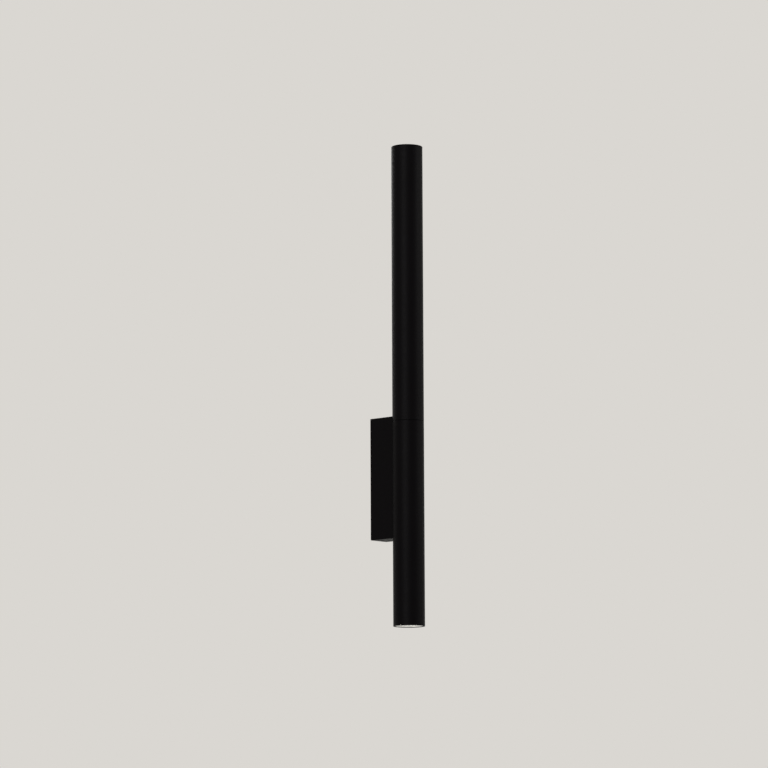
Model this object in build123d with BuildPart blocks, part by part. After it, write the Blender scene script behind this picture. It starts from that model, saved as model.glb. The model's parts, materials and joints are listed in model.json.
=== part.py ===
from build123d import *
import os
from math import asin, cos, sin

# Tube wall light. Millimetres, +Z up, the wall is the plane y = 0 and the room is on its -Y side.
# The origin is the centre of the wall fixing pattern, and +X is to the right seen from the room.

# ---------------------------------------------------------------- driving dimensions
# Tube: two lengths of one extrusion, joined over a coupling
tube_d = 40.0
tube_wall = 1.5
lower_tube_len = 259.0
upper_tube_len = 353.5
tube_edge = 0.25
axis_out = 51.0

# Wall box behind the tube
box_w = 30.0
box_h = 155.0
box_wall = 2.0
box_corner_r = 1.2
box_over_seam = 7.0
saddle_wall = 2.0
pad_rise = 1.0

# Clearances
seat_gap = 0.05
thread_gap = 0.05
slide_gap = 0.1
bore_gap = 0.1

# Wall plate
plate_w = 22.0
plate_t = 1.5
plate_bend_r = 1.0
plate_corner_r = 3.0
flange_out = 13.0
flange_gap = 4.5
fixing_spacing = 100.0
slot_w = 4.6
slot_len = 10.0
cable_hole_r = 7.0
dimple_r = 1.4
dimple_depth = 0.4

# Cable bush in the plate
entry_bore_r = 4.5
entry_rim_r = 9.0
entry_rim_t = 2.0

# Earth stud on the plate
earth_z = -21.0
earth_stud_len = 10.0
earth_head_r = 3.0
earth_head_t = 0.8
earth_washer_r = 4.4
earth_washer_t = 0.8
washer_teeth = 8
washer_notch_r = 0.45
m4_nut_across = 7.0
m4_nut_t = 3.2

# Screws, all modelled at their outer thread radius
hex_sides = 6
head_rim_share = 0.55
socket_share = 0.6
point_share = 0.6
m4_r = 2.0
m3_r = 1.5
m4_head_r = 4.0
m4_head_h = 2.6
m3_head_r = 2.6
m3_head_h = 1.9
m4_socket_r = 1.45
m3_socket_r = 1.15
m4_hole_r = 2.2
grub_len = 6.0
short_grub_len = 5.0
grub_sunk = 0.3
grub_out = 7.5
grub_boss_r = 4.5
grub_boss_h = 2.5
tube_screw_len = 8.0
tube_screw_inset = 15.0
pad_r = 5.0
driver_screw_len = 3.4
tray_screw_len = 7.0
tray_screw_r_at = 15.2

# Nut block behind the lower screw
nut_block_w = 16.0
nut_block_t = 5.5
nut_block_h = 20.0

# Bush where the supply lead crosses from the box into the tube
bush_z = 22.0
bush_bore_r = 2.7
bush_neck_r = 5.0
bush_rim_r = 6.6
bush_rim_t = 1.5
bush_past_tube = 0.5

# Terminal block in the box
poles = 3
pole_pitch = 7.5
pole_w = 6.6
block_h = 18.0
block_t = 15.0
block_base_t = 4.0
block_z = -37.0
block_out = 24.0
core_out = 17.0
core_hole_r = 2.3
insert_wall = 0.7
insert_r = 2.2
insert_sunk = 1.0
clamp_screw_r = 1.4
clamp_screw_len = 5.0
clamp_screw_sunk = 2.0
clamp_screw_dz = 4.6
terminal_screw_len = 8.0
blind_extra = 0.5
m25_r = 1.25
m25_head_r = 2.2
m25_head_h = 1.5
m25_socket_r = 0.8
terminal_screw_dz = 5.5

# Coupling inside both tubes
coupler_below = 30.0
coupler_above = 25.0
coupler_bore_r = 12.5
collar_t = 0.5
collar_recess = 0.7
coupler_grub_up = 15.0

# LED driver and its tray
tray_t = 1.5
tray_w = 18.0
tray_corner_r = 1.5
tray_foot_w = 12.0
tray_front = 6.0
tray_over_driver = 12.0
driver_w = 22.0
driver_t = 18.0
driver_len = 136.0
driver_ear = 7.0
driver_ear_t = 2.0
driver_ear_w = 14.0
driver_edge_r = 1.5
driver_lift = 14.0

# Leads
supply_lead_r = 2.2
sheath_above_block = 14.0
core_r = 0.9
core_side = 1.1
core_row = 0.6
core_straight = 3.0
core_bend_r = 2.5
core_in_block = 0.5
strand_r = 0.7
strand_len = 7.5
supply_bend_r = 8.0
supply_off_mid = 2.0
led_lead_r = 1.75
led_bend_r = 4.0
led_lead_x = 5.0
led_exit_up = 13.0
side_lead_x = 14.6
core_lead_x = 9.0
side_lead_turn = 14.0
lower_lead_turn = 22.0
upper_lead_turn_share = 0.25
upper_lead_bend_r = 30.0
jog_bend_r = 20.0

# LED heads: depths are measured inwards from a tube's mouth
ring_recess = 0.8
ring_len = 17.2
ring_lip_r = 18.0
ring_throat_r = 16.4
ring_shoulder_at = 12.0
ring_shoulder_t = 1.0
grip_r = 0.62
grip_at = 11.15
grip_groove_w = 1.4
lens_r = 17.3
lens_t = 3.0
lens_dome_r = 15.2
lens_dome_h = 1.4
lens_gap = 0.05
clip_t = 0.8
clip_radial = 1.3
clip_bite = 0.45
clip_opening = 8.0
reflector_gap = 0.3
reflector_t = 0.8
reflector_mouth_r = 16.6
reflector_neck_r = 8.0
reflector_depth = 13.2
reflector_bulge = 1.6
holder_r = 17.3
holder_t = 3.9
holder_window_r = 7.8
holder_screw_at = 13.8
emitter_r = 7.2
emitter_t = 0.5
chip_side = 19.0
chip_t = 1.0
pad_t = 0.3
sink_len = 44.0
sink_core_r = 9.0
sink_face_t = 14.0
sink_slots = 10
sink_slot_w = 2.2
lead_hole_at = 13.0
lead_hole_r = 2.3
holder_screw_len = 9.0
sink_screw_in = 25.0

# ---------------------------------------------------------------- places worked out from them
tube_r = tube_d / 2
tube_ri = tube_r - tube_wall
seam_z = box_h / 2 - box_over_seam
tube_screw_z = box_h / 2 - tube_screw_inset
bottom_z = seam_z - lower_tube_len
upper_base_z = seam_z + collar_t
top_z = upper_base_z + upper_tube_len
seat_r = tube_r + seat_gap
tube_back = axis_out - tube_r
saddle_back = axis_out - seat_r - saddle_wall
pad_out = saddle_back - pad_rise
box_inner_h = box_h - 2 * box_wall
flange_z = box_inner_h / 2 - flange_gap
cavity_r = seat_r + saddle_wall
fit_r = tube_ri - bore_gap
coupler_top_z = upper_base_z + coupler_above
coupler_bottom_z = seam_z - coupler_below
tray_y = -axis_out + tray_front
driver_bottom_z = coupler_top_z + driver_lift
driver_mid_y = tray_y - driver_t / 2
driver_body_z = driver_bottom_z + driver_ear
driver_top_z = driver_body_z + driver_len
supply_run_y = driver_mid_y + supply_off_mid
led_run_y = driver_mid_y

lens_at = ring_shoulder_at + ring_shoulder_t + lens_gap
clip_at = lens_at + lens_t + lens_gap
ring_end = ring_recess + ring_len
ring_pocket_r = lens_r + lens_gap
reflector_at = ring_end + reflector_gap
holder_at = reflector_at + reflector_depth
sink_at = holder_at + holder_t
emitter_at = sink_at - pad_t - chip_t - emitter_t
sink_screw_at = sink_at + sink_screw_in

os.makedirs("parts", exist_ok=True)


# ---------------------------------------------------------------- shared shapes
def keep(piece, name):
    """Label a finished piece and write it to its own file."""
    piece.part.label = name
    export_step(piece.part, f"parts/{name}.step")


def level(z):
    """Horizontal plane on the tube's axis at height z."""
    return Plane(origin=(0, -axis_out, z), x_dir=(1, 0, 0), z_dir=(0, 0, 1))


def out(distance, z=0.0):
    """Upright plane at a distance from the wall, facing the room."""
    return Plane(origin=(0, -distance, z), x_dir=(1, 0, 0), z_dir=(0, -1, 0))


def back(distance, z=0.0, x=0.0):
    """Upright plane at a distance from the wall, facing the wall."""
    return Plane(origin=(x, -distance, z), x_dir=(-1, 0, 0), z_dir=(0, 1, 0))


def section(seat):
    """Plane through a seat's axis: x is the radius and y the way the seat faces."""
    return Plane(origin=seat.origin, x_dir=seat.x_dir, z_dir=-seat.y_dir)


def turned(seat, points):
    """Solid of revolution about a seat's axis from (radius, height) points."""
    with BuildPart() as body:
        with BuildSketch(section(seat)):
            with BuildLine():
                Polyline(*points, close=True)
            make_face()
        revolve(axis=Axis(seat.origin, seat.z_dir))
    return body


def dome(edge_r, edge_at, rise):
    """Arc of a ball centred on the axis, from its edge up to its top on the axis."""
    ball_r = (edge_r**2 + rise**2) / (2 * rise)
    half = asin(edge_r / ball_r) / 2
    middle = (ball_r * sin(half), edge_at + rise - ball_r + ball_r * cos(half))
    return ThreePointArc((edge_r, edge_at), middle, (0, edge_at + rise))


def pan_screws(seats, thread_r, length, head_r, head_h, socket_r):
    """Domed head screws with a hexagon socket, one on each seat plane, threads as plain shanks."""
    shank_r = thread_r - thread_gap
    rim_h = head_h * head_rim_share
    with BuildPart() as screws:
        for seat in seats:
            with BuildSketch(section(seat)):
                with BuildLine():
                    Polyline(
                        (0, head_h), (0, -length), (shank_r, -length),
                        (shank_r, 0), (head_r, 0), (head_r, rim_h),
                    )
                    dome(head_r, rim_h, head_h - rim_h)
                make_face()
            revolve(axis=Axis(seat.origin, seat.z_dir))
            with BuildSketch(seat.offset(head_h)):
                RegularPolygon(socket_r, hex_sides)
            extrude(amount=-head_h * socket_share, mode=Mode.SUBTRACT)
    return screws


def grub_screws(seats, thread_r, length):
    """Socket grub screws with a chamfered point: a seat is the socket end's plane."""
    shank_r = thread_r - thread_gap
    point_r = shank_r * point_share
    point_h = shank_r - point_r
    with BuildPart() as grubs:
        for seat in seats:
            with BuildSketch(section(seat)):
                with BuildLine():
                    Polyline(
                        (0, 0), (shank_r, 0), (shank_r, -length + point_h),
                        (point_r, -length), (0, -length), close=True,
                    )
                make_face()
            revolve(axis=Axis(seat.origin, seat.z_dir))
            with BuildSketch(seat):
                RegularPolygon(shank_r * point_share, hex_sides)
            extrude(amount=-thread_r, mode=Mode.SUBTRACT)
    return grubs


def lead(points, radius, bend_r):
    """Round sheathed lead along straight runs joined by arcs."""
    start = Vector(*points[0])
    with BuildPart() as cable:
        with BuildLine() as route:
            FilletPolyline(*points, radius=bend_r)
        with BuildSketch(Plane(origin=start, z_dir=Vector(*points[1]) - start)):
            Circle(radius)
        sweep(path=route.wires()[0])
    return cable


# ---------------------------------------------------------------- wall plate and its fittings
with BuildPart() as wall_plate:
    with BuildSketch(Plane.YZ) as profile:
        with BuildLine():
            Polyline(
                (0, -flange_z), (0, flange_z), (-flange_out, flange_z),
                (-flange_out, flange_z - plate_t), (-plate_t, flange_z - plate_t),
                (-plate_t, plate_t - flange_z), (-flange_out, plate_t - flange_z),
                (-flange_out, -flange_z), close=True,
            )
        make_face()
        fillet(profile.vertices().group_by(Axis.X)[-1], plate_bend_r + plate_t)
        fillet(profile.vertices().group_by(Axis.X)[-2], plate_bend_r)
    extrude(amount=plate_w / 2, both=True)
    fillet(wall_plate.edges().filter_by(Axis.Z).group_by(Axis.Y)[0], plate_corner_r)
    with BuildSketch(out(0)):
        with Locations((0, -fixing_spacing / 2), (0, fixing_spacing / 2)):
            SlotOverall(slot_len, slot_w, rotation=90)
        Circle(cable_hole_r)
        with Locations((0, earth_z)):
            Circle(m4_r)
    extrude(amount=plate_t, mode=Mode.SUBTRACT)
    with BuildSketch(back(0, earth_z)):
        Circle(earth_head_r)
    extrude(amount=-earth_head_t, mode=Mode.SUBTRACT)
    for side in (1, -1):
        with Locations(Plane(origin=(0, -grub_out, side * flange_z), z_dir=(0, 0, side))):
            Hole(radius=dimple_r, depth=dimple_depth)
keep(wall_plate, "wall_plate")

cable_grommet = turned(
    back(plate_t + entry_rim_t),
    [
        (entry_bore_r, 0), (entry_rim_r, 0), (entry_rim_r, entry_rim_t),
        (cable_hole_r - seat_gap, entry_rim_t), (cable_hole_r - seat_gap, plate_t + entry_rim_t),
        (entry_bore_r, plate_t + entry_rim_t),
    ],
)
keep(cable_grommet, "cable_grommet")

earth_stud = turned(
    back(0, earth_z),
    [
        (0, 0), (earth_head_r - seat_gap, 0), (earth_head_r - seat_gap, seat_gap - earth_head_t),
        (m4_r - thread_gap, seat_gap - earth_head_t), (m4_r - thread_gap, -earth_stud_len),
        (0, -earth_stud_len),
    ],
)
keep(earth_stud, "earth_stud")

with BuildPart() as earth_washer:
    with BuildSketch(out(plate_t, earth_z)):
        Circle(earth_washer_r)
        Circle(m4_r + seat_gap, mode=Mode.SUBTRACT)
        with PolarLocations(earth_washer_r, washer_teeth):
            Circle(washer_notch_r, mode=Mode.SUBTRACT)
    extrude(amount=earth_washer_t)
keep(earth_washer, "earth_washer")

with BuildPart() as earth_nut:
    with BuildSketch(out(plate_t + earth_washer_t, earth_z)):
        RegularPolygon(m4_nut_across / 2, hex_sides, major_radius=False)
        Circle(m4_r, mode=Mode.SUBTRACT)
    extrude(amount=m4_nut_t)
keep(earth_nut, "earth_nut")

# ---------------------------------------------------------------- wall box
with BuildPart() as cavity:
    with BuildSketch(out(0)):
        Rectangle(box_w - 2 * box_wall, box_inner_h)
    extrude(amount=axis_out)
    with BuildSketch(level(-box_h)):
        Circle(cavity_r)
    extrude(amount=2 * box_h, mode=Mode.SUBTRACT)

with BuildPart() as wall_box:
    with BuildSketch(out(0)):
        RectangleRounded(box_w, box_h, box_corner_r)
    extrude(amount=axis_out)
    add(cavity.part, mode=Mode.SUBTRACT)
    # flat pads inside for the screws, the lead bush and the terminal block
    with BuildSketch(out(pad_out)):
        with Locations((0, -tube_screw_z), (0, tube_screw_z)):
            Circle(pad_r)
        with Locations((0, bush_z)):
            Circle(bush_rim_r + pad_rise)
    extrude(amount=tube_r)
    with BuildSketch(out(block_out)):
        with Locations((0, block_z)):
            Rectangle(poles * pole_pitch, block_h)
    extrude(amount=tube_r)
    for side in (1, -1):
        with BuildSketch(Plane(origin=(0, -grub_out, side * box_inner_h / 2), z_dir=(0, 0, -side))):
            Circle(grub_boss_r)
        extrude(amount=grub_boss_h)
    # the tube's seat
    with BuildSketch(level(-box_h)):
        Circle(seat_r)
    extrude(amount=2 * box_h, mode=Mode.SUBTRACT)
    with BuildSketch(out(block_out)):
        with Locations((0, -tube_screw_z), (0, tube_screw_z)):
            Circle(m4_hole_r)
        with Locations((0, bush_z)):
            Circle(bush_neck_r)
    extrude(amount=tube_r, mode=Mode.SUBTRACT)
    with BuildSketch(out(block_out)):
        for side in (1, -1):
            with Locations((side * pole_pitch / 2, block_z + side * terminal_screw_dz)):
                Circle(m25_r)
    extrude(amount=terminal_screw_len - block_base_t + blind_extra, mode=Mode.SUBTRACT)
    for side in (1, -1):
        with Locations(Plane(origin=(0, -grub_out, side * box_h / 2), z_dir=(0, 0, side))):
            Hole(radius=m4_r, depth=box_wall + grub_boss_h)
keep(wall_box, "wall_box")

grub_top_z = flange_z + slide_gap + grub_len
box_grub_screws = grub_screws(
    [Plane(origin=(0, -grub_out, side * grub_top_z), z_dir=(0, 0, side)) for side in (1, -1)],
    m4_r,
    grub_len,
)
keep(box_grub_screws, "box_grub_screws")

tube_screws = pan_screws(
    [back(pad_out, side * tube_screw_z) for side in (1, -1)],
    m4_r, tube_screw_len, m4_head_r, m4_head_h, m4_socket_r,
)
keep(tube_screws, "tube_screws")

bush_len = tube_back + tube_wall - pad_out + bush_past_tube
lead_bush = turned(
    back(pad_out, bush_z),
    [
        (bush_bore_r, -bush_len), (bush_neck_r - seat_gap, -bush_len), (bush_neck_r - seat_gap, 0),
        (bush_rim_r, 0), (bush_rim_r, bush_rim_t), (bush_bore_r, bush_rim_t),
    ],
)
keep(lead_bush, "lead_bush")

# ---------------------------------------------------------------- terminal block
pole_xs = [(i - (poles - 1) / 2) * pole_pitch for i in range(poles)]
block_front = block_out - block_t

with BuildPart() as terminal_block:
    with BuildSketch(back(block_out, block_z)):
        Rectangle(poles * pole_pitch, block_h)
    extrude(amount=block_base_t)
    with BuildSketch(back(block_out - block_base_t, block_z)):
        with Locations(*[(x, 0) for x in pole_xs]):
            Rectangle(pole_w, block_h)
    extrude(amount=block_t - block_base_t)
    with BuildSketch(Plane(origin=(0, 0, block_z - block_h / 2), z_dir=(0, 0, 1))):
        with Locations(*[(x, -core_out) for x in pole_xs]):
            Circle(core_hole_r)
    extrude(amount=block_h, mode=Mode.SUBTRACT)
    with BuildSketch(back(core_out, block_z)):
        for x in pole_xs:
            with Locations((x, -clamp_screw_dz), (x, clamp_screw_dz)):
                Circle(clamp_screw_r + seat_gap)
    extrude(amount=core_out - block_front, mode=Mode.SUBTRACT)
    with BuildSketch(back(block_out, block_z)):
        for side in (1, -1):
            with Locations((-side * pole_pitch / 2, side * terminal_screw_dz)):
                Circle(m25_r + seat_gap)
    extrude(amount=block_base_t, mode=Mode.SUBTRACT)
    with BuildSketch(back(block_out - block_base_t, block_z)):
        for side in (1, -1):
            with Locations((-side * pole_pitch / 2, side * terminal_screw_dz)):
                Circle(m25_head_r + 2 * seat_gap)
    extrude(amount=block_t - block_base_t, mode=Mode.SUBTRACT)
keep(terminal_block, "terminal_block")

with BuildPart() as terminal_inserts:
    with BuildSketch(Plane(origin=(0, 0, block_z - block_h / 2 + insert_sunk), z_dir=(0, 0, 1))):
        for x in pole_xs:
            with Locations((x, -core_out)):
                Circle(insert_r)
                Circle(insert_r - insert_wall, mode=Mode.SUBTRACT)
    extrude(amount=block_h - 2 * insert_sunk)
    with BuildSketch(back(core_out, block_z)):
        for x in pole_xs:
            with Locations((x, -clamp_screw_dz), (x, clamp_screw_dz)):
                Circle(clamp_screw_r)
    extrude(amount=insert_r + insert_wall, mode=Mode.SUBTRACT)
keep(terminal_inserts, "terminal_inserts")

terminal_screws = grub_screws(
    [
        back(block_front + clamp_screw_sunk, block_z + dz, x)
        for x in pole_xs
        for dz in (-clamp_screw_dz, clamp_screw_dz)
    ],
    clamp_screw_r,
    clamp_screw_len,
)
keep(terminal_screws, "terminal_screws")

terminal_fixing_screws = pan_screws(
    [
        back(block_out - block_base_t, block_z + side * terminal_screw_dz, side * pole_pitch / 2)
        for side in (1, -1)
    ],
    m25_r, terminal_screw_len, m25_head_r, m25_head_h, m25_socket_r,
)
keep(terminal_fixing_screws, "terminal_fixing_screws")


# ---------------------------------------------------------------- tubes and coupling
def tube(base_z, length, back_holes):
    """One length of the tube with broken edges and (height, radius) holes in its back."""
    with BuildPart() as body:
        with BuildSketch(level(base_z)):
            Circle(tube_r)
            Circle(tube_ri, mode=Mode.SUBTRACT)
        extrude(amount=length)
        chamfer(body.edges().filter_by(GeomType.CIRCLE), tube_edge)
        for hole_z, hole_r in back_holes:
            with BuildSketch(out(tube_back - tube_wall, hole_z)):
                Circle(hole_r)
            extrude(amount=tube_r, mode=Mode.SUBTRACT)
    return body


coupler_grub_z = upper_base_z + coupler_grub_up
lower_tube = tube(
    bottom_z,
    lower_tube_len,
    [
        (tube_screw_z, m4_hole_r),
        (-tube_screw_z, m4_hole_r),
        (bush_z, bush_neck_r),
        (bottom_z + sink_screw_at, m4_r),
    ],
)
keep(lower_tube, "lower_tube")

upper_tube = tube(
    upper_base_z,
    upper_tube_len,
    [(coupler_grub_z, m4_r), (top_z - sink_screw_at, m4_r)],
)
keep(upper_tube, "upper_tube")

with BuildPart() as tube_coupler:
    with BuildSketch(level(coupler_bottom_z)):
        Circle(fit_r)
    extrude(amount=coupler_top_z - coupler_bottom_z)
    with BuildSketch(level(seam_z)):
        Circle(tube_r - collar_recess)
    extrude(amount=collar_t)
    with BuildSketch(level(coupler_bottom_z)):
        Circle(coupler_bore_r)
    extrude(amount=coupler_top_z - coupler_bottom_z, mode=Mode.SUBTRACT)
    for hole_z in (tube_screw_z, coupler_grub_z):
        with BuildSketch(out(tube_back, hole_z)):
            Circle(m4_r)
        extrude(amount=tube_r, mode=Mode.SUBTRACT)
    with BuildSketch(level(coupler_top_z)):
        with Locations((0, tray_screw_r_at)):
            Circle(m3_r)
    extrude(amount=-tray_screw_len, mode=Mode.SUBTRACT)
keep(tube_coupler, "tube_coupler")

coupler_grub_screw = grub_screws([back(tube_back + grub_sunk, coupler_grub_z)], m4_r, short_grub_len)
keep(coupler_grub_screw, "coupler_grub_screw")

with BuildPart() as nut_block:
    with BuildSketch(level(-tube_screw_z - nut_block_h / 2)):
        Circle(tube_ri - seat_gap)
        with Locations((0, tube_ri)):
            Rectangle(
                nut_block_w, nut_block_t,
                align=(Align.CENTER, Align.MAX), mode=Mode.INTERSECT,
            )
    extrude(amount=nut_block_h)
    with BuildSketch(out(tube_back, -tube_screw_z)):
        Circle(m4_r)
    extrude(amount=tube_r, mode=Mode.SUBTRACT)
keep(nut_block, "nut_block")

# ---------------------------------------------------------------- driver on its tray
tray_len = driver_top_z + driver_ear + tray_over_driver - coupler_top_z
ear_zs = (driver_body_z - driver_ear / 2, driver_top_z + driver_ear / 2)
foot_r = fit_r - bore_gap

with BuildPart() as driver_tray:
    with BuildSketch(out(-tray_y, coupler_top_z + tray_len / 2)):
        RectangleRounded(tray_w, tray_len, tray_corner_r)
    extrude(amount=-tray_t)
    with BuildSketch(level(coupler_top_z)):
        Circle(foot_r)
        with Locations((0, tray_front)):
            Rectangle(
                tray_foot_w, tube_r,
                align=(Align.CENTER, Align.MIN), mode=Mode.INTERSECT,
            )
    extrude(amount=tray_t)
    with BuildSketch(level(coupler_top_z)):
        with Locations((0, tray_screw_r_at)):
            Circle(m3_r + seat_gap)
    extrude(amount=tray_t, mode=Mode.SUBTRACT)
    for ear_z in ear_zs:
        with BuildSketch(out(-tray_y, ear_z)):
            Circle(m3_r)
        extrude(amount=-tray_t, mode=Mode.SUBTRACT)
keep(driver_tray, "driver_tray")

tray_screw = pan_screws(
    [Plane(origin=(0, tray_screw_r_at - axis_out, coupler_top_z + tray_t), z_dir=(0, 0, 1))],
    m3_r, tray_screw_len - tray_t, m3_head_r, m3_head_h, m3_socket_r,
)
keep(tray_screw, "tray_screw")

with BuildPart() as driver_case:
    with BuildSketch(level(driver_body_z)):
        with Locations((0, tray_front - driver_t / 2)):
            Rectangle(driver_w, driver_t)
    extrude(amount=driver_len)
    fillet(driver_case.edges().filter_by(Axis.Z), driver_edge_r)
    with BuildSketch(out(-tray_y, (driver_body_z + driver_top_z) / 2)):
        RectangleRounded(driver_ear_w, driver_len + 2 * driver_ear, driver_edge_r)
    extrude(amount=driver_ear_t)
    for ear_z in ear_zs:
        with BuildSketch(out(-tray_y, ear_z)):
            Circle(m3_r + seat_gap)
        extrude(amount=driver_ear_t, mode=Mode.SUBTRACT)
keep(driver_case, "driver_case")

driver_screws = pan_screws(
    [out(driver_ear_t - tray_y, ear_z) for ear_z in ear_zs],
    m3_r, driver_screw_len, m3_head_r, m3_head_h, m3_socket_r,
)
keep(driver_screws, "driver_screws")

# ---------------------------------------------------------------- LED heads, one in each end
mouths = {
    "lower": Plane(origin=(0, -axis_out, bottom_z), x_dir=(1, 0, 0), z_dir=(0, 0, 1)),
    "upper": Plane(origin=(0, -axis_out, top_z), x_dir=(-1, 0, 0), z_dir=(0, 0, -1)),
}


def glare_ring(mouth):
    """Baffle that pulls out of the tube: a cone down to a shoulder, then the lens pocket."""
    groove_r = tube_ri - seat_gap - 2 * grip_r - seat_gap
    clip_groove_r = ring_pocket_r + clip_bite
    shoulder_end = ring_shoulder_at + ring_shoulder_t
    return turned(
        mouth,
        [
            (ring_lip_r, ring_recess), (ring_throat_r, ring_shoulder_at),
            (ring_throat_r, shoulder_end), (ring_pocket_r, shoulder_end),
            (ring_pocket_r, clip_at), (clip_groove_r, clip_at),
            (clip_groove_r, clip_at + clip_t + lens_gap), (ring_pocket_r, clip_at + clip_t + lens_gap),
            (ring_pocket_r, ring_end), (fit_r, ring_end),
            (fit_r, grip_at + grip_groove_w / 2), (groove_r, grip_at + grip_groove_w / 2),
            (groove_r, grip_at - grip_groove_w / 2), (fit_r, grip_at - grip_groove_w / 2),
            (fit_r, ring_recess),
        ],
    )


def ring_grip(mouth):
    """Rubber ring that holds the baffle in the bore by friction."""
    with BuildPart() as grip:
        with BuildSketch(section(mouth)):
            with Locations((tube_ri - seat_gap - grip_r, grip_at)):
                Circle(grip_r)
        revolve(axis=Axis(mouth.origin, mouth.z_dir))
    return grip


def lens(mouth):
    """Plano-convex disc, flat towards the mouth."""
    rim_at = lens_at + lens_t
    with BuildPart() as optic:
        with BuildSketch(section(mouth)):
            with BuildLine():
                Polyline(
                    (0, rim_at + lens_dome_h), (0, lens_at), (lens_r, lens_at),
                    (lens_r, rim_at), (lens_dome_r, rim_at),
                )
                dome(lens_dome_r, rim_at, lens_dome_h)
            make_face()
        revolve(axis=Axis(mouth.origin, mouth.z_dir))
    return optic


def lens_clip(mouth):
    """Open spring ring that keeps the lens on its shoulder."""
    outer_r = ring_pocket_r + clip_bite - lens_gap
    with BuildPart() as clip:
        with BuildSketch(mouth.offset(clip_at)):
            Circle(outer_r)
            Circle(outer_r - clip_radial, mode=Mode.SUBTRACT)
            with Locations((0, -outer_r)):
                Rectangle(clip_opening, outer_r, mode=Mode.SUBTRACT)
        extrude(amount=clip_t)
    return clip


def reflector(mouth):
    """Spun cup with a flange at its mouth and its neck round the emitter."""
    front = reflector_at
    neck = holder_at
    mid_r = (reflector_mouth_r + reflector_neck_r) / 2 + reflector_bulge
    mid_at = (front + neck) / 2 + reflector_bulge / 2
    with BuildPart() as cup:
        with BuildSketch(section(mouth)):
            with BuildLine():
                ThreePointArc((reflector_mouth_r, front), (mid_r, mid_at), (reflector_neck_r, neck))
                Line((reflector_neck_r, neck), (reflector_neck_r + reflector_t, neck))
                ThreePointArc(
                    (reflector_neck_r + reflector_t, neck),
                    (mid_r + reflector_t, mid_at + reflector_t / 2),
                    (reflector_mouth_r + reflector_t, front + reflector_t),
                )
                Polyline(
                    (reflector_mouth_r + reflector_t, front + reflector_t),
                    (fit_r, front + reflector_t),
                    (fit_r, front),
                    (reflector_mouth_r, front),
                )
            make_face()
        revolve(axis=Axis(mouth.origin, mouth.z_dir))
    return cup


def emitter_holder(mouth):
    """Moulded ring that clamps the light source to the heat sink."""
    pocket_side = chip_side + 2 * bore_gap
    pocket_depth = chip_t + pad_t + seat_gap
    with BuildPart() as ring:
        with BuildSketch(mouth.offset(holder_at)):
            Circle(holder_r)
            Circle(holder_window_r, mode=Mode.SUBTRACT)
            with Locations((0, -holder_screw_at), (0, holder_screw_at)):
                Circle(m3_r + seat_gap, mode=Mode.SUBTRACT)
        extrude(amount=holder_t)
        with BuildSketch(mouth.offset(sink_at)):
            Rectangle(pocket_side, pocket_side)
        extrude(amount=-pocket_depth, mode=Mode.SUBTRACT)
    return ring


def disc(mouth, at, radius, thickness):
    with BuildPart() as body:
        with BuildSketch(mouth.offset(at)):
            Circle(radius)
        extrude(amount=thickness)
    return body


def square_plate(mouth, at, side, thickness):
    with BuildPart() as body:
        with BuildSketch(mouth.offset(at)):
            Rectangle(side, side)
        extrude(amount=thickness)
    return body


def heat_sink(mouth):
    """Round plug that fills the bore: a solid face, then lengthwise fins behind it."""
    with BuildPart() as sink:
        with BuildSketch(mouth.offset(sink_at)):
            Circle(fit_r)
        extrude(amount=sink_len)
        with BuildSketch(mouth.offset(sink_at + sink_face_t)):
            with PolarLocations((sink_core_r + tube_r) / 2, sink_slots):
                Rectangle(tube_r - sink_core_r, sink_slot_w)
            with Locations(((lead_hole_at + tube_r) / 2, 0)):
                Rectangle(tube_r - lead_hole_at, 2 * lead_hole_r)
        extrude(amount=sink_len, mode=Mode.SUBTRACT)
        with BuildSketch(mouth.offset(sink_at)):
            with Locations((lead_hole_at, 0)):
                Circle(lead_hole_r)
        extrude(amount=sink_len, mode=Mode.SUBTRACT)
        with BuildSketch(mouth.offset(sink_at)):
            with Locations((0, -holder_screw_at), (0, holder_screw_at)):
                Circle(m3_r)
        extrude(amount=holder_screw_len, mode=Mode.SUBTRACT)
        grub_axis = Plane(
            origin=mouth.offset(sink_screw_at).origin, x_dir=mouth.x_dir, z_dir=mouth.y_dir
        )
        with BuildSketch(grub_axis.offset(sink_core_r)):
            Circle(m4_r)
        extrude(amount=tube_r, mode=Mode.SUBTRACT)
    return sink


def holder_screws(mouth):
    """Two screws through the holder into the heat sink, heads towards the mouth."""
    seats = []
    for side in (1, -1):
        foot = mouth.offset(holder_at).origin + mouth.y_dir * (side * holder_screw_at)
        seats.append(Plane(origin=foot, x_dir=mouth.x_dir, z_dir=-mouth.z_dir))
    return pan_screws(seats, m3_r, holder_screw_len, m3_head_r, m3_head_h, m3_socket_r)


chip_at = emitter_at + emitter_t
for end, mouth in mouths.items():
    keep(glare_ring(mouth), f"{end}_glare_ring")
    keep(ring_grip(mouth), f"{end}_ring_grip")
    keep(lens(mouth), f"{end}_lens")
    keep(lens_clip(mouth), f"{end}_lens_clip")
    keep(reflector(mouth), f"{end}_reflector")
    keep(emitter_holder(mouth), f"{end}_emitter_holder")
    keep(disc(mouth, emitter_at, emitter_r, emitter_t), f"{end}_emitter")
    keep(square_plate(mouth, chip_at, chip_side, chip_t), f"{end}_emitter_plate")
    keep(square_plate(mouth, chip_at + chip_t, chip_side, pad_t), f"{end}_thermal_pad")
    keep(heat_sink(mouth), f"{end}_heat_sink")
    keep(holder_screws(mouth), f"{end}_holder_screws")

sink_grub_screws = grub_screws(
    [
        back(tube_back + grub_sunk, bottom_z + sink_screw_at),
        back(tube_back + grub_sunk, top_z - sink_screw_at),
    ],
    m4_r,
    short_grub_len,
)
keep(sink_grub_screws, "sink_grub_screws")

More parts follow.
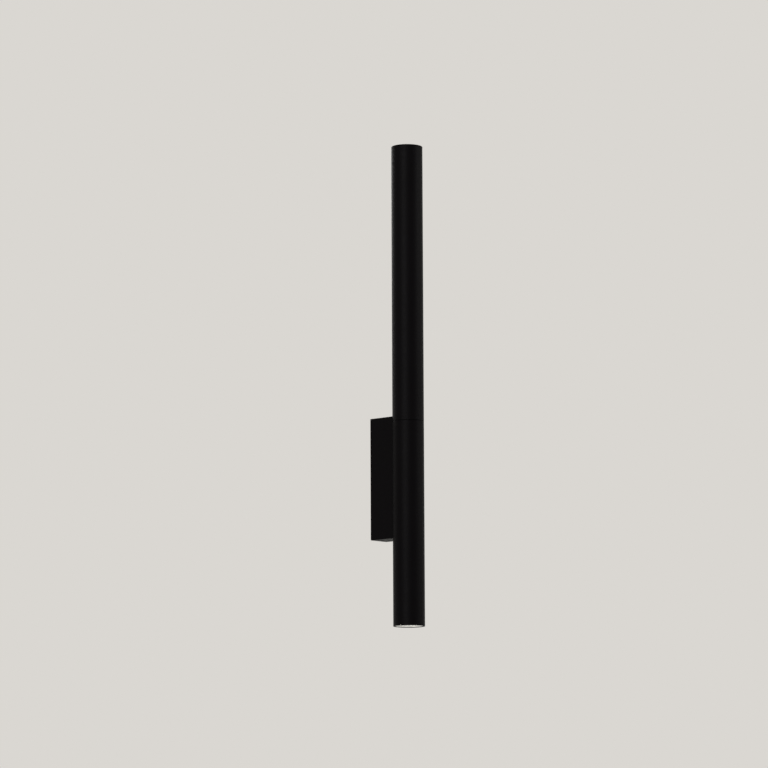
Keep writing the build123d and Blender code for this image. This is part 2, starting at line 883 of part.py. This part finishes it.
# ---------------------------------------------------------------- leads inside the tube
lead_end = sink_at + seat_gap
upper_sink_z = top_z - sink_at - sink_len
upper_lead_turn = (upper_sink_z - driver_top_z) * upper_lead_turn_share
block_top_z = block_z + block_h / 2
sheath_z = block_top_z + sheath_above_block
core_end_z = block_top_z - core_in_block
supply_lead = lead(
    [
        (0, -core_out, sheath_z),
        (0, -core_out, bush_z),
        (0, supply_run_y, bush_z),
        (0, supply_run_y, driver_body_z),
    ],
    supply_lead_r,
    supply_bend_r,
)
keep(supply_lead, "supply_lead")

# (name, place across the sheath, place towards the wall, pole)
cores = [
    ("live_core", -core_side, -core_row, pole_xs[0]),
    ("earth_core", 0, 2 * core_row, pole_xs[1]),
    ("neutral_core", core_side, -core_row, pole_xs[2]),
]
for name, across, towards_wall, pole_x in cores:
    core = lead(
        [
            (across, towards_wall - core_out, sheath_z),
            (across, towards_wall - core_out, sheath_z - core_straight),
            (pole_x, -core_out, core_end_z + core_straight),
            (pole_x, -core_out, core_end_z),
        ],
        core_r,
        core_bend_r,
    )
    keep(core, name)

with BuildPart() as core_ends:
    with BuildSketch(Plane(origin=(0, 0, core_end_z), z_dir=(0, 0, 1))):
        for x in pole_xs:
            with Locations((x, -core_out)):
                Circle(strand_r)
    extrude(amount=-strand_len)
keep(core_ends, "core_ends")

upper_led_lead = lead(
    [
        (-led_lead_x, led_run_y, driver_top_z),
        (-led_lead_x, led_run_y, driver_top_z + upper_lead_turn),
        (-lead_hole_at, -axis_out, upper_sink_z - upper_lead_turn),
        (-lead_hole_at, -axis_out, top_z - lead_end),
    ],
    led_lead_r,
    upper_lead_bend_r,
)
keep(upper_led_lead, "upper_led_lead")

lower_led_lead = lead(
    [
        (led_lead_x, led_run_y, driver_top_z),
        (led_lead_x, led_run_y, driver_top_z + led_exit_up),
        (side_lead_x, led_run_y, driver_top_z + led_exit_up),
        (side_lead_x, led_run_y, driver_bottom_z + side_lead_turn / 2),
        (core_lead_x, -axis_out, driver_bottom_z - side_lead_turn / 2),
        (core_lead_x, -axis_out, bottom_z + sink_at + sink_len + lower_lead_turn),
        (lead_hole_at, -axis_out, bottom_z + sink_at + sink_len + seat_gap),
        (lead_hole_at, -axis_out, bottom_z + lead_end),
    ],
    led_lead_r,
    [led_bend_r, led_bend_r, jog_bend_r, jog_bend_r, jog_bend_r, jog_bend_r],
)
keep(lower_led_lead, "lower_led_lead")
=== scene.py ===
import json
import math

import bpy
from mathutils import Matrix, Vector

# Tube wall light: a black powder-coated tube on a slim wall box, with a light head in each end.
# Metres, +Z up, the wall is y = 0 and the room is on its -Y side. Every shape is a CAD node; this
# script gives them their finishes, and adds the floor, the lights and the camera.

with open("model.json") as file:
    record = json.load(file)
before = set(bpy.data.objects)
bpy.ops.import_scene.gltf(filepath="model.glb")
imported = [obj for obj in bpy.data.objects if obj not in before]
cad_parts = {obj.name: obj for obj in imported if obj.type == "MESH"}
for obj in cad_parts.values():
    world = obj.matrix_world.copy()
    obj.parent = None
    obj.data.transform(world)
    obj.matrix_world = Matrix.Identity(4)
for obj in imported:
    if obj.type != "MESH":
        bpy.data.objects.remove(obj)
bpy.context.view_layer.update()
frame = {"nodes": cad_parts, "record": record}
nodes = frame["nodes"]

mm = 0.001
lathe_mm = 1.19  # tool marks are nearer 0.2 mm apart, drawn wider so that they show
spinning_mm = 1.58

floor_level = -1.75
floor_edge = 15.0
fade_from, fade_to = 3.0, 0.9 * floor_edge  # distance at which the floor melts into the background

middle = (0.0, -0.051, 0.118)  # what the lights aim at
# name, azimuth and elevation in degrees, distance, width and height in metres, watts: each is as
# bright as lets a colour show about as it is written
lights = (
    ("side_light", -72, 14, 2.6, 0.9, 2.2, 38),
    ("room_light", 38, 22, 3.0, 0.9, 2.0, 25),
    ("back_light", 160, 30, 3.0, 1.6, 1.6, 34),
)
even_light = 0.55


# ---------------------------------------------------------------- material tools
def srgb(hex_colour):
    """Linear RGBA of an sRGB hex colour."""
    parts = [int(hex_colour[i:i + 2], 16) / 255 for i in (1, 3, 5)]
    return [c / 12.92 if c <= 0.04045 else ((c + 0.055) / 1.055) ** 2.4 for c in parts] + [1.0]


def per_metre(size_mm):
    """Texture scale that gives features of a real size, as the coordinates are in metres."""
    return 1 / (size_mm * mm)


def band_scale(spacing_mm):
    """Wave texture scale for bands this far apart, as the texture repeats each 2 pi / 20 units."""
    return per_metre(spacing_mm) * math.tau / 20


def node(tree, kind, values=None, links=None, **settings):
    """Adds one node with its settings, its sockets' values and the outputs that feed them."""
    made = tree.nodes.new(kind)
    for name, value in settings.items():
        setattr(made, name, value)
    for socket, value in (values or {}).items():
        made.inputs[socket].default_value = value
    for socket, source in (links or {}).items():
        tree.links.new(source, made.inputs[socket])
    return made


def start_material(name, **sockets):
    """A material whose shader has these values, its tree, its shader and its own coordinates."""
    mat = bpy.data.materials.new(name)
    mat.use_nodes = True
    tree = mat.node_tree
    shader = tree.nodes["Principled BSDF"]
    for socket, value in sockets.items():
        shader.inputs[socket.replace("_", " ")].default_value = value
    place = node(tree, "ShaderNodeTexCoord").outputs["Object"]
    return mat, tree, shader, place


def two_tones(tree, shader, factor, first, second):
    """The shader's colour goes from one hex colour to another with the factor."""
    mix = node(
        tree, "ShaderNodeMix", {6: srgb(first), 7: srgb(second)}, {0: factor}, data_type="RGBA"
    )
    tree.links.new(mix.outputs[2], shader.inputs["Base Color"])


def gloss_range(tree, shader, factor, low, high):
    """The shader's roughness goes from low to high with the factor."""
    span = node(tree, "ShaderNodeMapRange", {"To Min": low, "To Max": high}, {"Value": factor})
    tree.links.new(span.outputs["Result"], shader.inputs["Roughness"])


def relief(tree, shader, heights):
    """Stacks bumps on the shader: each is (height output, depth in mm, strength)."""
    normal = None
    for height, depth, strength in heights:
        bump = node(
            tree, "ShaderNodeBump", {"Distance": depth * mm, "Strength": strength},
            {"Height": height},
        )
        if normal is not None:
            tree.links.new(normal, bump.inputs["Normal"])
        normal = bump.outputs["Normal"]
    tree.links.new(normal, shader.inputs["Normal"])


# ---------------------------------------------------------------- materials
def black_powder_coat():
    """Fine-texture polyester powder coat, sprayed and baked on aluminium. The eye sees a soft black
    with a broad dull sheen, a sandy grain close up and a slow waviness under it."""
    mat, tree, shader, place = start_material(
        "black_powder_coat", Roughness=0.45, Specular_IOR_Level=0.04
    )
    # the real grain is about 0.3 mm, drawn at 0.6 mm so that it shows
    grain = node(
        tree, "ShaderNodeTexNoise", {"Scale": per_metre(0.6), "Detail": 3.0, "Roughness": 0.6},
        {"Vector": place},
    ).outputs["Fac"]
    peel = node(
        tree, "ShaderNodeTexNoise", {"Scale": per_metre(3.2), "Detail": 1.0}, {"Vector": place}
    ).outputs["Fac"]
    clouds = node(
        tree, "ShaderNodeTexNoise", {"Scale": per_metre(45), "Detail": 4.0}, {"Vector": place}
    ).outputs["Fac"]
    both = node(tree, "ShaderNodeMath", links={0: grain, 1: clouds}, operation="MULTIPLY")
    two_tones(tree, shader, both.outputs[0], "#030203", "#070507")
    gloss_range(tree, shader, peel, 0.38, 0.52)
    relief(tree, shader, [(peel, 0.1, 0.3), (grain, 0.2, 0.8)])
    return mat


def zinc_plated_steel():
    """Pressed mild steel, zinc electroplated and clear passivated. The eye sees a cool satin grey
    with faint blue and straw clouds and the rolling lines of the sheet."""
    mat, tree, shader, place = start_material("zinc_plated_steel", Metallic=1.0, Roughness=0.34)
    clouds = node(
        tree, "ShaderNodeTexNoise", {"Scale": per_metre(9), "Detail": 3.0}, {"Vector": place}
    ).outputs["Fac"]
    stretch = node(
        tree, "ShaderNodeMapping", {"Scale": (1.0, 1.0, 0.04)}, {"Vector": place}
    ).outputs["Vector"]
    rolling = node(
        tree, "ShaderNodeTexNoise", {"Scale": per_metre(0.5), "Detail": 2.0}, {"Vector": stretch}
    ).outputs["Fac"]
    two_tones(tree, shader, clouds, "#a9b0ba", "#c6c3b4")
    gloss_range(tree, shader, rolling, 0.26, 0.42)
    relief(tree, shader, [(rolling, 0.015, 0.4)])
    return mat


def blackened_steel():
    """Hardened steel, turned and chemically blackened. The eye sees a warm dark grey with an oily
    sheen that is lighter where the tool has rubbed."""
    mat, tree, shader, place = start_material("blackened_steel", Metallic=1.0, Roughness=0.4)
    rubbed = node(
        tree, "ShaderNodeTexNoise", {"Scale": per_metre(1.2), "Detail": 4.0}, {"Vector": place}
    ).outputs["Fac"]
    two_tones(tree, shader, rubbed, "#232224", "#4a4744")
    gloss_range(tree, shader, rubbed, 0.3, 0.5)
    return mat


def spring_steel():
    """Drawn and hardened spring wire, bright. The eye sees a grey shine with fine drawing lines."""
    mat, tree, shader, place = start_material("spring_steel", Metallic=1.0, Roughness=0.28)
    lines = node(
        tree, "ShaderNodeTexNoise", {"Scale": per_metre(0.3), "Detail": 2.0}, {"Vector": place}
    ).outputs["Fac"]
    two_tones(tree, shader, lines, "#84878b", "#a5a6a6")
    gloss_range(tree, shader, lines, 0.2, 0.36)
    return mat


def brass():
    """Extruded and drilled brass, left bare. The eye sees yellow metal with dulled patches."""
    mat, tree, shader, place = start_material("brass", Metallic=1.0, Roughness=0.3)
    dulled = node(
        tree, "ShaderNodeTexNoise", {"Scale": per_metre(2.5), "Detail": 4.0}, {"Vector": place}
    ).outputs["Fac"]
    two_tones(tree, shader, dulled, "#c9a75c", "#a58243")
    gloss_range(tree, shader, dulled, 0.22, 0.42)
    return mat


def bare_aluminium():
    """Turned and sawn aluminium bar, left bare. The eye sees pale grey with close tool marks."""
    mat, tree, shader, place = start_material("bare_aluminium", Metallic=1.0, Roughness=0.32)
    feed = node(
        tree, "ShaderNodeTexWave", {"Scale": band_scale(lathe_mm), "Distortion": 0.4},
        {"Vector": place}, wave_type="BANDS", bands_direction="Z",
    ).outputs["Fac"]
    oxide = node(
        tree, "ShaderNodeTexNoise", {"Scale": per_metre(6), "Detail": 3.0}, {"Vector": place}
    ).outputs["Fac"]
    two_tones(tree, shader, oxide, "#b9bbbd", "#cfd0d1")
    gloss_range(tree, shader, feed, 0.26, 0.4)
    relief(tree, shader, [(feed, 0.02, 0.3)])
    return mat


def black_anodised_aluminium():
    """Turned aluminium, etched and anodised black. The eye sees a deep matt black, as the dyed oxide
    hides the metal, with a trace of the lathe's rings."""
    mat, tree, shader, place = start_material(
        "black_anodised_aluminium", Roughness=0.5, IOR=1.6, Specular_IOR_Level=0.03
    )
    rings = node(
        tree, "ShaderNodeTexWave", {"Scale": band_scale(lathe_mm), "Distortion": 0.4},
        {"Vector": place}, wave_type="BANDS", bands_direction="Z",
    ).outputs["Fac"]
    two_tones(tree, shader, rings, "#010101", "#030304")
    gloss_range(tree, shader, rings, 0.42, 0.58)
    relief(tree, shader, [(rings, 0.01, 0.3)])
    return mat


def polished_aluminium():
    """Spun aluminium cup, polished and brightened. The eye sees a near mirror with faint spinning
    rings that stretch the highlights."""
    mat, tree, shader, place = start_material("polished_aluminium", Metallic=1.0, Roughness=0.14)
    rings = node(
        tree, "ShaderNodeTexWave", {"Scale": band_scale(spinning_mm), "Distortion": 0.2},
        {"Vector": place}, wave_type="BANDS", bands_direction="Z",
    ).outputs["Fac"]
    two_tones(tree, shader, rings, "#dcdddf", "#e6e7e8")
    gloss_range(tree, shader, rings, 0.1, 0.2)
    relief(tree, shader, [(rings, 0.012, 0.25)])
    return mat


def white_baffle():
    """Opal polycarbonate baffle, moulded with a fine spark finish. The eye sees a clean white with a
    faint grain.
    Its even glow is painted light: a weak emission that stands in for the light the ring gets from
    the lit source behind it."""
    # painted glow: the weak warm-white emission stands in for the lit source's light falling on the
    # ring
    mat, tree, shader, place = start_material(
        "white_baffle", Roughness=0.55, IOR=1.58, Emission_Strength=0.1
    )
    shader.inputs["Emission Color"].default_value = srgb("#fffdfa")
    grain = node(
        tree, "ShaderNodeTexNoise", {"Scale": per_metre(0.4), "Detail": 2.0}, {"Vector": place}
    ).outputs["Fac"]
    two_tones(tree, shader, grain, "#e6e5e1", "#efeeeb")
    gloss_range(tree, shader, grain, 0.5, 0.62)
    relief(tree, shader, [(grain, 0.02, 0.3)])
    return mat


def black_rubber():
    """Black EPDM rubber, moulded. The eye sees a dull charcoal with a chalky bloom in patches."""
    mat, tree, shader, place = start_material("black_rubber", Roughness=0.75, IOR=1.52)
    bloom = node(
        tree, "ShaderNodeTexNoise", {"Scale": per_metre(5), "Detail": 5.0}, {"Vector": place}
    ).outputs["Fac"]
    skin = node(
        tree, "ShaderNodeTexNoise", {"Scale": per_metre(0.35), "Detail": 2.0}, {"Vector": place}
    ).outputs["Fac"]
    two_tones(tree, shader, bloom, "#151515", "#262625")
    gloss_range(tree, shader, bloom, 0.66, 0.85)
    relief(tree, shader, [(skin, 0.03, 0.4)])
    return mat


def grey_silicone():
    """Silicone rubber, moulded and filled. The eye sees an even grey with a slight tacky sheen."""
    mat, tree, shader, place = start_material("grey_silicone", Roughness=0.45, IOR=1.43)
    filler = node(
        tree, "ShaderNodeTexNoise", {"Scale": per_metre(0.5), "Detail": 3.0}, {"Vector": place}
    ).outputs["Fac"]
    two_tones(tree, shader, filler, "#7d8184", "#92969a")
    gloss_range(tree, shader, filler, 0.38, 0.55)
    return mat


def white_plastic():
    """Glass-filled polyamide, injection moulded. The eye sees a cool off-white with a fine sparkle
    of fibre near the surface."""
    mat, tree, shader, place = start_material("white_plastic", Roughness=0.42, IOR=1.53)
    fibre = node(
        tree, "ShaderNodeTexNoise", {"Scale": per_metre(0.7), "Detail": 5.0}, {"Vector": place}
    ).outputs["Fac"]
    two_tones(tree, shader, fibre, "#dcdbd5", "#e9e8e3")
    gloss_range(tree, shader, fibre, 0.34, 0.52)
    relief(tree, shader, [(fibre, 0.02, 0.3)])
    return mat


def phosphor():
    """Phosphor-filled silicone over the chips of the light source, lit. The eye sees warm white
    light with the yellow of the phosphor at its rim."""
    mat, tree, shader, place = start_material(
        "phosphor", Roughness=0.5, IOR=1.43, Emission_Strength=10.0
    )
    shader.inputs["Emission Color"].default_value = srgb("#fff8ec")
    speckle = node(
        tree, "ShaderNodeTexVoronoi", {"Scale": per_metre(1.1)}, {"Vector": place}
    ).outputs["Distance"]
    two_tones(tree, shader, speckle, "#f0cf62", "#e3b945")
    return mat


def lens_glass():
    """Pressed borosilicate glass. The eye sees clear glass with a bright rim and a trace of
    waviness from the press."""
    mat, tree, shader, place = start_material(
        "lens_glass", Roughness=0.04, IOR=1.47, Transmission_Weight=1.0
    )
    shader.inputs["Base Color"].default_value = srgb("#f6fbf9")
    wavy = node(
        tree, "ShaderNodeTexNoise", {"Scale": per_metre(7), "Detail": 1.0}, {"Vector": place}
    ).outputs["Fac"]
    gloss_range(tree, shader, wavy, 0.02, 0.07)
    relief(tree, shader, [(wavy, 0.03, 0.12)])
    return mat


def insulation(name, colour, second, band_mm):
    """Extruded PVC over the conductors, with slow bands of a second tone along the core."""
    mat, tree, shader, place = start_material(name, Roughness=0.38, IOR=1.53)
    bands = node(
        tree, "ShaderNodeTexWave", {"Scale": band_scale(band_mm), "Distortion": 0.5},
        {"Vector": place}, wave_type="BANDS", bands_direction="X", wave_profile="TRI",
    ).outputs["Fac"]
    smear = node(
        tree, "ShaderNodeTexNoise", {"Scale": per_metre(1.5), "Detail": 3.0}, {"Vector": place}
    ).outputs["Fac"]
    split = node(
        tree, "ShaderNodeMapRange", {"From Min": 0.45, "From Max": 0.55}, {"Value": bands}
    ).outputs["Result"]
    two_tones(tree, shader, split, colour, second)
    gloss_range(tree, shader, smear, 0.3, 0.48)
    return mat


def brown_insulation():
    """The live core's brown PVC. The eye sees a waxy brown."""
    return insulation("brown_insulation", "#5f3a22", "#66402a", 5.94)


def green_yellow_insulation():
    """The earth core's two-colour PVC. The eye sees a green stripe beside a yellow one."""
    return insulation("green_yellow_insulation", "#2f7a35", "#dcc22a", 3.56)


def blue_insulation():
    """The neutral core's blue PVC. The eye sees a waxy blue."""
    return insulation("blue_insulation", "#22508c", "#295996", 5.94)


def tinned_copper():
    """Stranded copper, tinned and twisted. The eye sees a dull silver with a copper blush."""
    mat, tree, shader, place = start_material("tinned_copper", Metallic=1.0, Roughness=0.35)
    strands = node(
        tree, "ShaderNodeTexNoise", {"Scale": per_metre(0.4), "Detail": 2.0}, {"Vector": place}
    ).outputs["Fac"]
    two_tones(tree, shader, strands, "#c5bfb6", "#b99b84")
    gloss_range(tree, shader, strands, 0.28, 0.45)
    relief(tree, shader, [(strands, 0.04, 0.5)])
    return mat


def white_lead():
    """Extruded silicone sheath, dusted with talc. The eye sees a soft matt white lead."""
    mat, tree, shader, place = start_material("white_lead", Roughness=0.6, IOR=1.43)
    talc = node(
        tree, "ShaderNodeTexNoise", {"Scale": per_metre(2), "Detail": 4.0}, {"Vector": place}
    ).outputs["Fac"]
    two_tones(tree, shader, talc, "#d5d3cc", "#e7e5df")
    gloss_range(tree, shader, talc, 0.5, 0.72)
    return mat


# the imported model's plain colours make way
for plain in list(bpy.data.materials):
    bpy.data.materials.remove(plain)

finishes = {
    make.__name__: make()
    for make in (
        black_powder_coat, zinc_plated_steel, blackened_steel, spring_steel, brass, bare_aluminium,
        black_anodised_aluminium, polished_aluminium, white_baffle, black_rubber, grey_silicone,
        white_plastic, phosphor, lens_glass, brown_insulation, green_yellow_insulation,
        blue_insulation, tinned_copper, white_lead,
    )
}

# every CAD node takes the finish of its slot in the record
for entry in frame["record"]["subparts"]:
    skin = nodes[entry["node"]].data.materials
    skin.clear()
    skin.append(finishes[entry["material_slot"]])


# ---------------------------------------------------------------- floor, light and camera
def floor():
    """Pale floor under a light that hangs at 1.75 m. It fades into the background with distance and
    is clear from below, so that it hides nothing."""
    mesh = bpy.data.meshes.new("floor")
    around = ((-1, -1), (1, -1), (1, 1), (-1, 1))
    corners = [(x * floor_edge, y * floor_edge, floor_level) for x, y in around]
    mesh.from_pydata(corners, [], [(0, 1, 2, 3)])
    ground = bpy.data.objects.new("floor", mesh)
    bpy.context.scene.collection.objects.link(ground)
    mat, tree, shader, place = start_material("pale_floor", Roughness=0.9, Specular_IOR_Level=0.1)
    mottle = node(
        tree, "ShaderNodeTexNoise", {"Scale": per_metre(400), "Detail": 2.0}, {"Vector": place}
    ).outputs["Fac"]
    two_tones(tree, shader, mottle, "#f5f2ed", "#f8f6f2")
    under = node(tree, "ShaderNodeNewGeometry").outputs["Backfacing"]
    clear = node(tree, "ShaderNodeBsdfTransparent").outputs[0]
    away = node(
        tree, "ShaderNodeVectorMath", links={0: place}, operation="LENGTH"
    ).outputs["Value"]
    far = node(
        tree, "ShaderNodeMapRange", {"From Min": fade_from, "From Max": fade_to}, {"Value": away},
        interpolation_type="SMOOTHERSTEP",
    ).outputs["Result"]
    gone = node(tree, "ShaderNodeMath", links={0: under, 1: far}, operation="MAXIMUM").outputs[0]
    faced = node(
        tree, "ShaderNodeMixShader", links={0: gone, 1: shader.outputs[0], 2: clear}
    ).outputs[0]
    tree.links.new(faced, tree.nodes["Material Output"].inputs["Surface"])
    mesh.materials.append(mat)


def soft_light(name, azimuth, elevation, distance, width, height, power):
    """Rectangular soft light that faces the middle of the object. Azimuth 0 is in front of the
    wall and 90 is to its right."""
    data = bpy.data.lights.new(name, "AREA")
    data.shape = "RECTANGLE"
    data.size = width
    data.size_y = height
    data.energy = power
    lamp = bpy.data.objects.new(name, data)
    bpy.context.scene.collection.objects.link(lamp)
    a, e = math.radians(azimuth), math.radians(elevation)
    away = Vector((math.sin(a) * math.cos(e), -math.cos(a) * math.cos(e), math.sin(e)))
    lamp.location = Vector(middle) + away * distance
    lamp.rotation_mode = "QUATERNION"
    lamp.rotation_quaternion = away.to_track_quat("Z", "Y")


def studio_world():
    """Even light all round. The camera, mirrors and glass see a pale background instead."""
    world = bpy.data.worlds.new("studio")
    world.use_nodes = True
    bpy.context.scene.world = world
    tree = world.node_tree
    tree.nodes.clear()
    path = node(tree, "ShaderNodeLightPath").outputs
    eye_or_mirror = node(
        tree, "ShaderNodeMath", links={0: path["Is Camera Ray"], 1: path["Is Glossy Ray"]},
        operation="MAXIMUM",
    ).outputs[0]
    seen = node(
        tree, "ShaderNodeMath", links={0: eye_or_mirror, 1: path["Is Transmission Ray"]},
        operation="MAXIMUM",
    ).outputs[0]
    light = node(tree, "ShaderNodeBackground", {"Color": srgb("#ffffff"), "Strength": even_light})
    pale = node(tree, "ShaderNodeBackground", {"Color": srgb("#dad7d2"), "Strength": 1.0})
    both = node(
        tree, "ShaderNodeMixShader",
        links={0: seen, 1: light.outputs[0], 2: pale.outputs[0]},
    )
    node(tree, "ShaderNodeOutputWorld", links={"Surface": both.outputs[0]})


def photo_camera():
    """Long lens below and to the left of the light, looking up at it."""
    data = bpy.data.cameras.new("camera")
    data.sensor_width = 36.0
    data.lens = 180.53
    right = Vector((0.67165887, -0.74084861, -0.00420606))
    up = Vector((-0.10252332, -0.09856805, 0.98983499))
    forward = Vector((0.73373246, 0.66440024, 0.14215837))
    stand = Vector((-3.59837, -3.268456, -0.574268))
    turn = Matrix((right, up, -forward)).transposed()
    camera = bpy.data.objects.new("camera", data)
    bpy.context.scene.collection.objects.link(camera)
    camera.matrix_world = Matrix.Translation(stand) @ turn.to_4x4()
    bpy.context.scene.camera = camera


floor()
for light in lights:
    soft_light(*light)
studio_world()
photo_camera()
bpy.context.scene.view_settings.view_transform = "Standard"
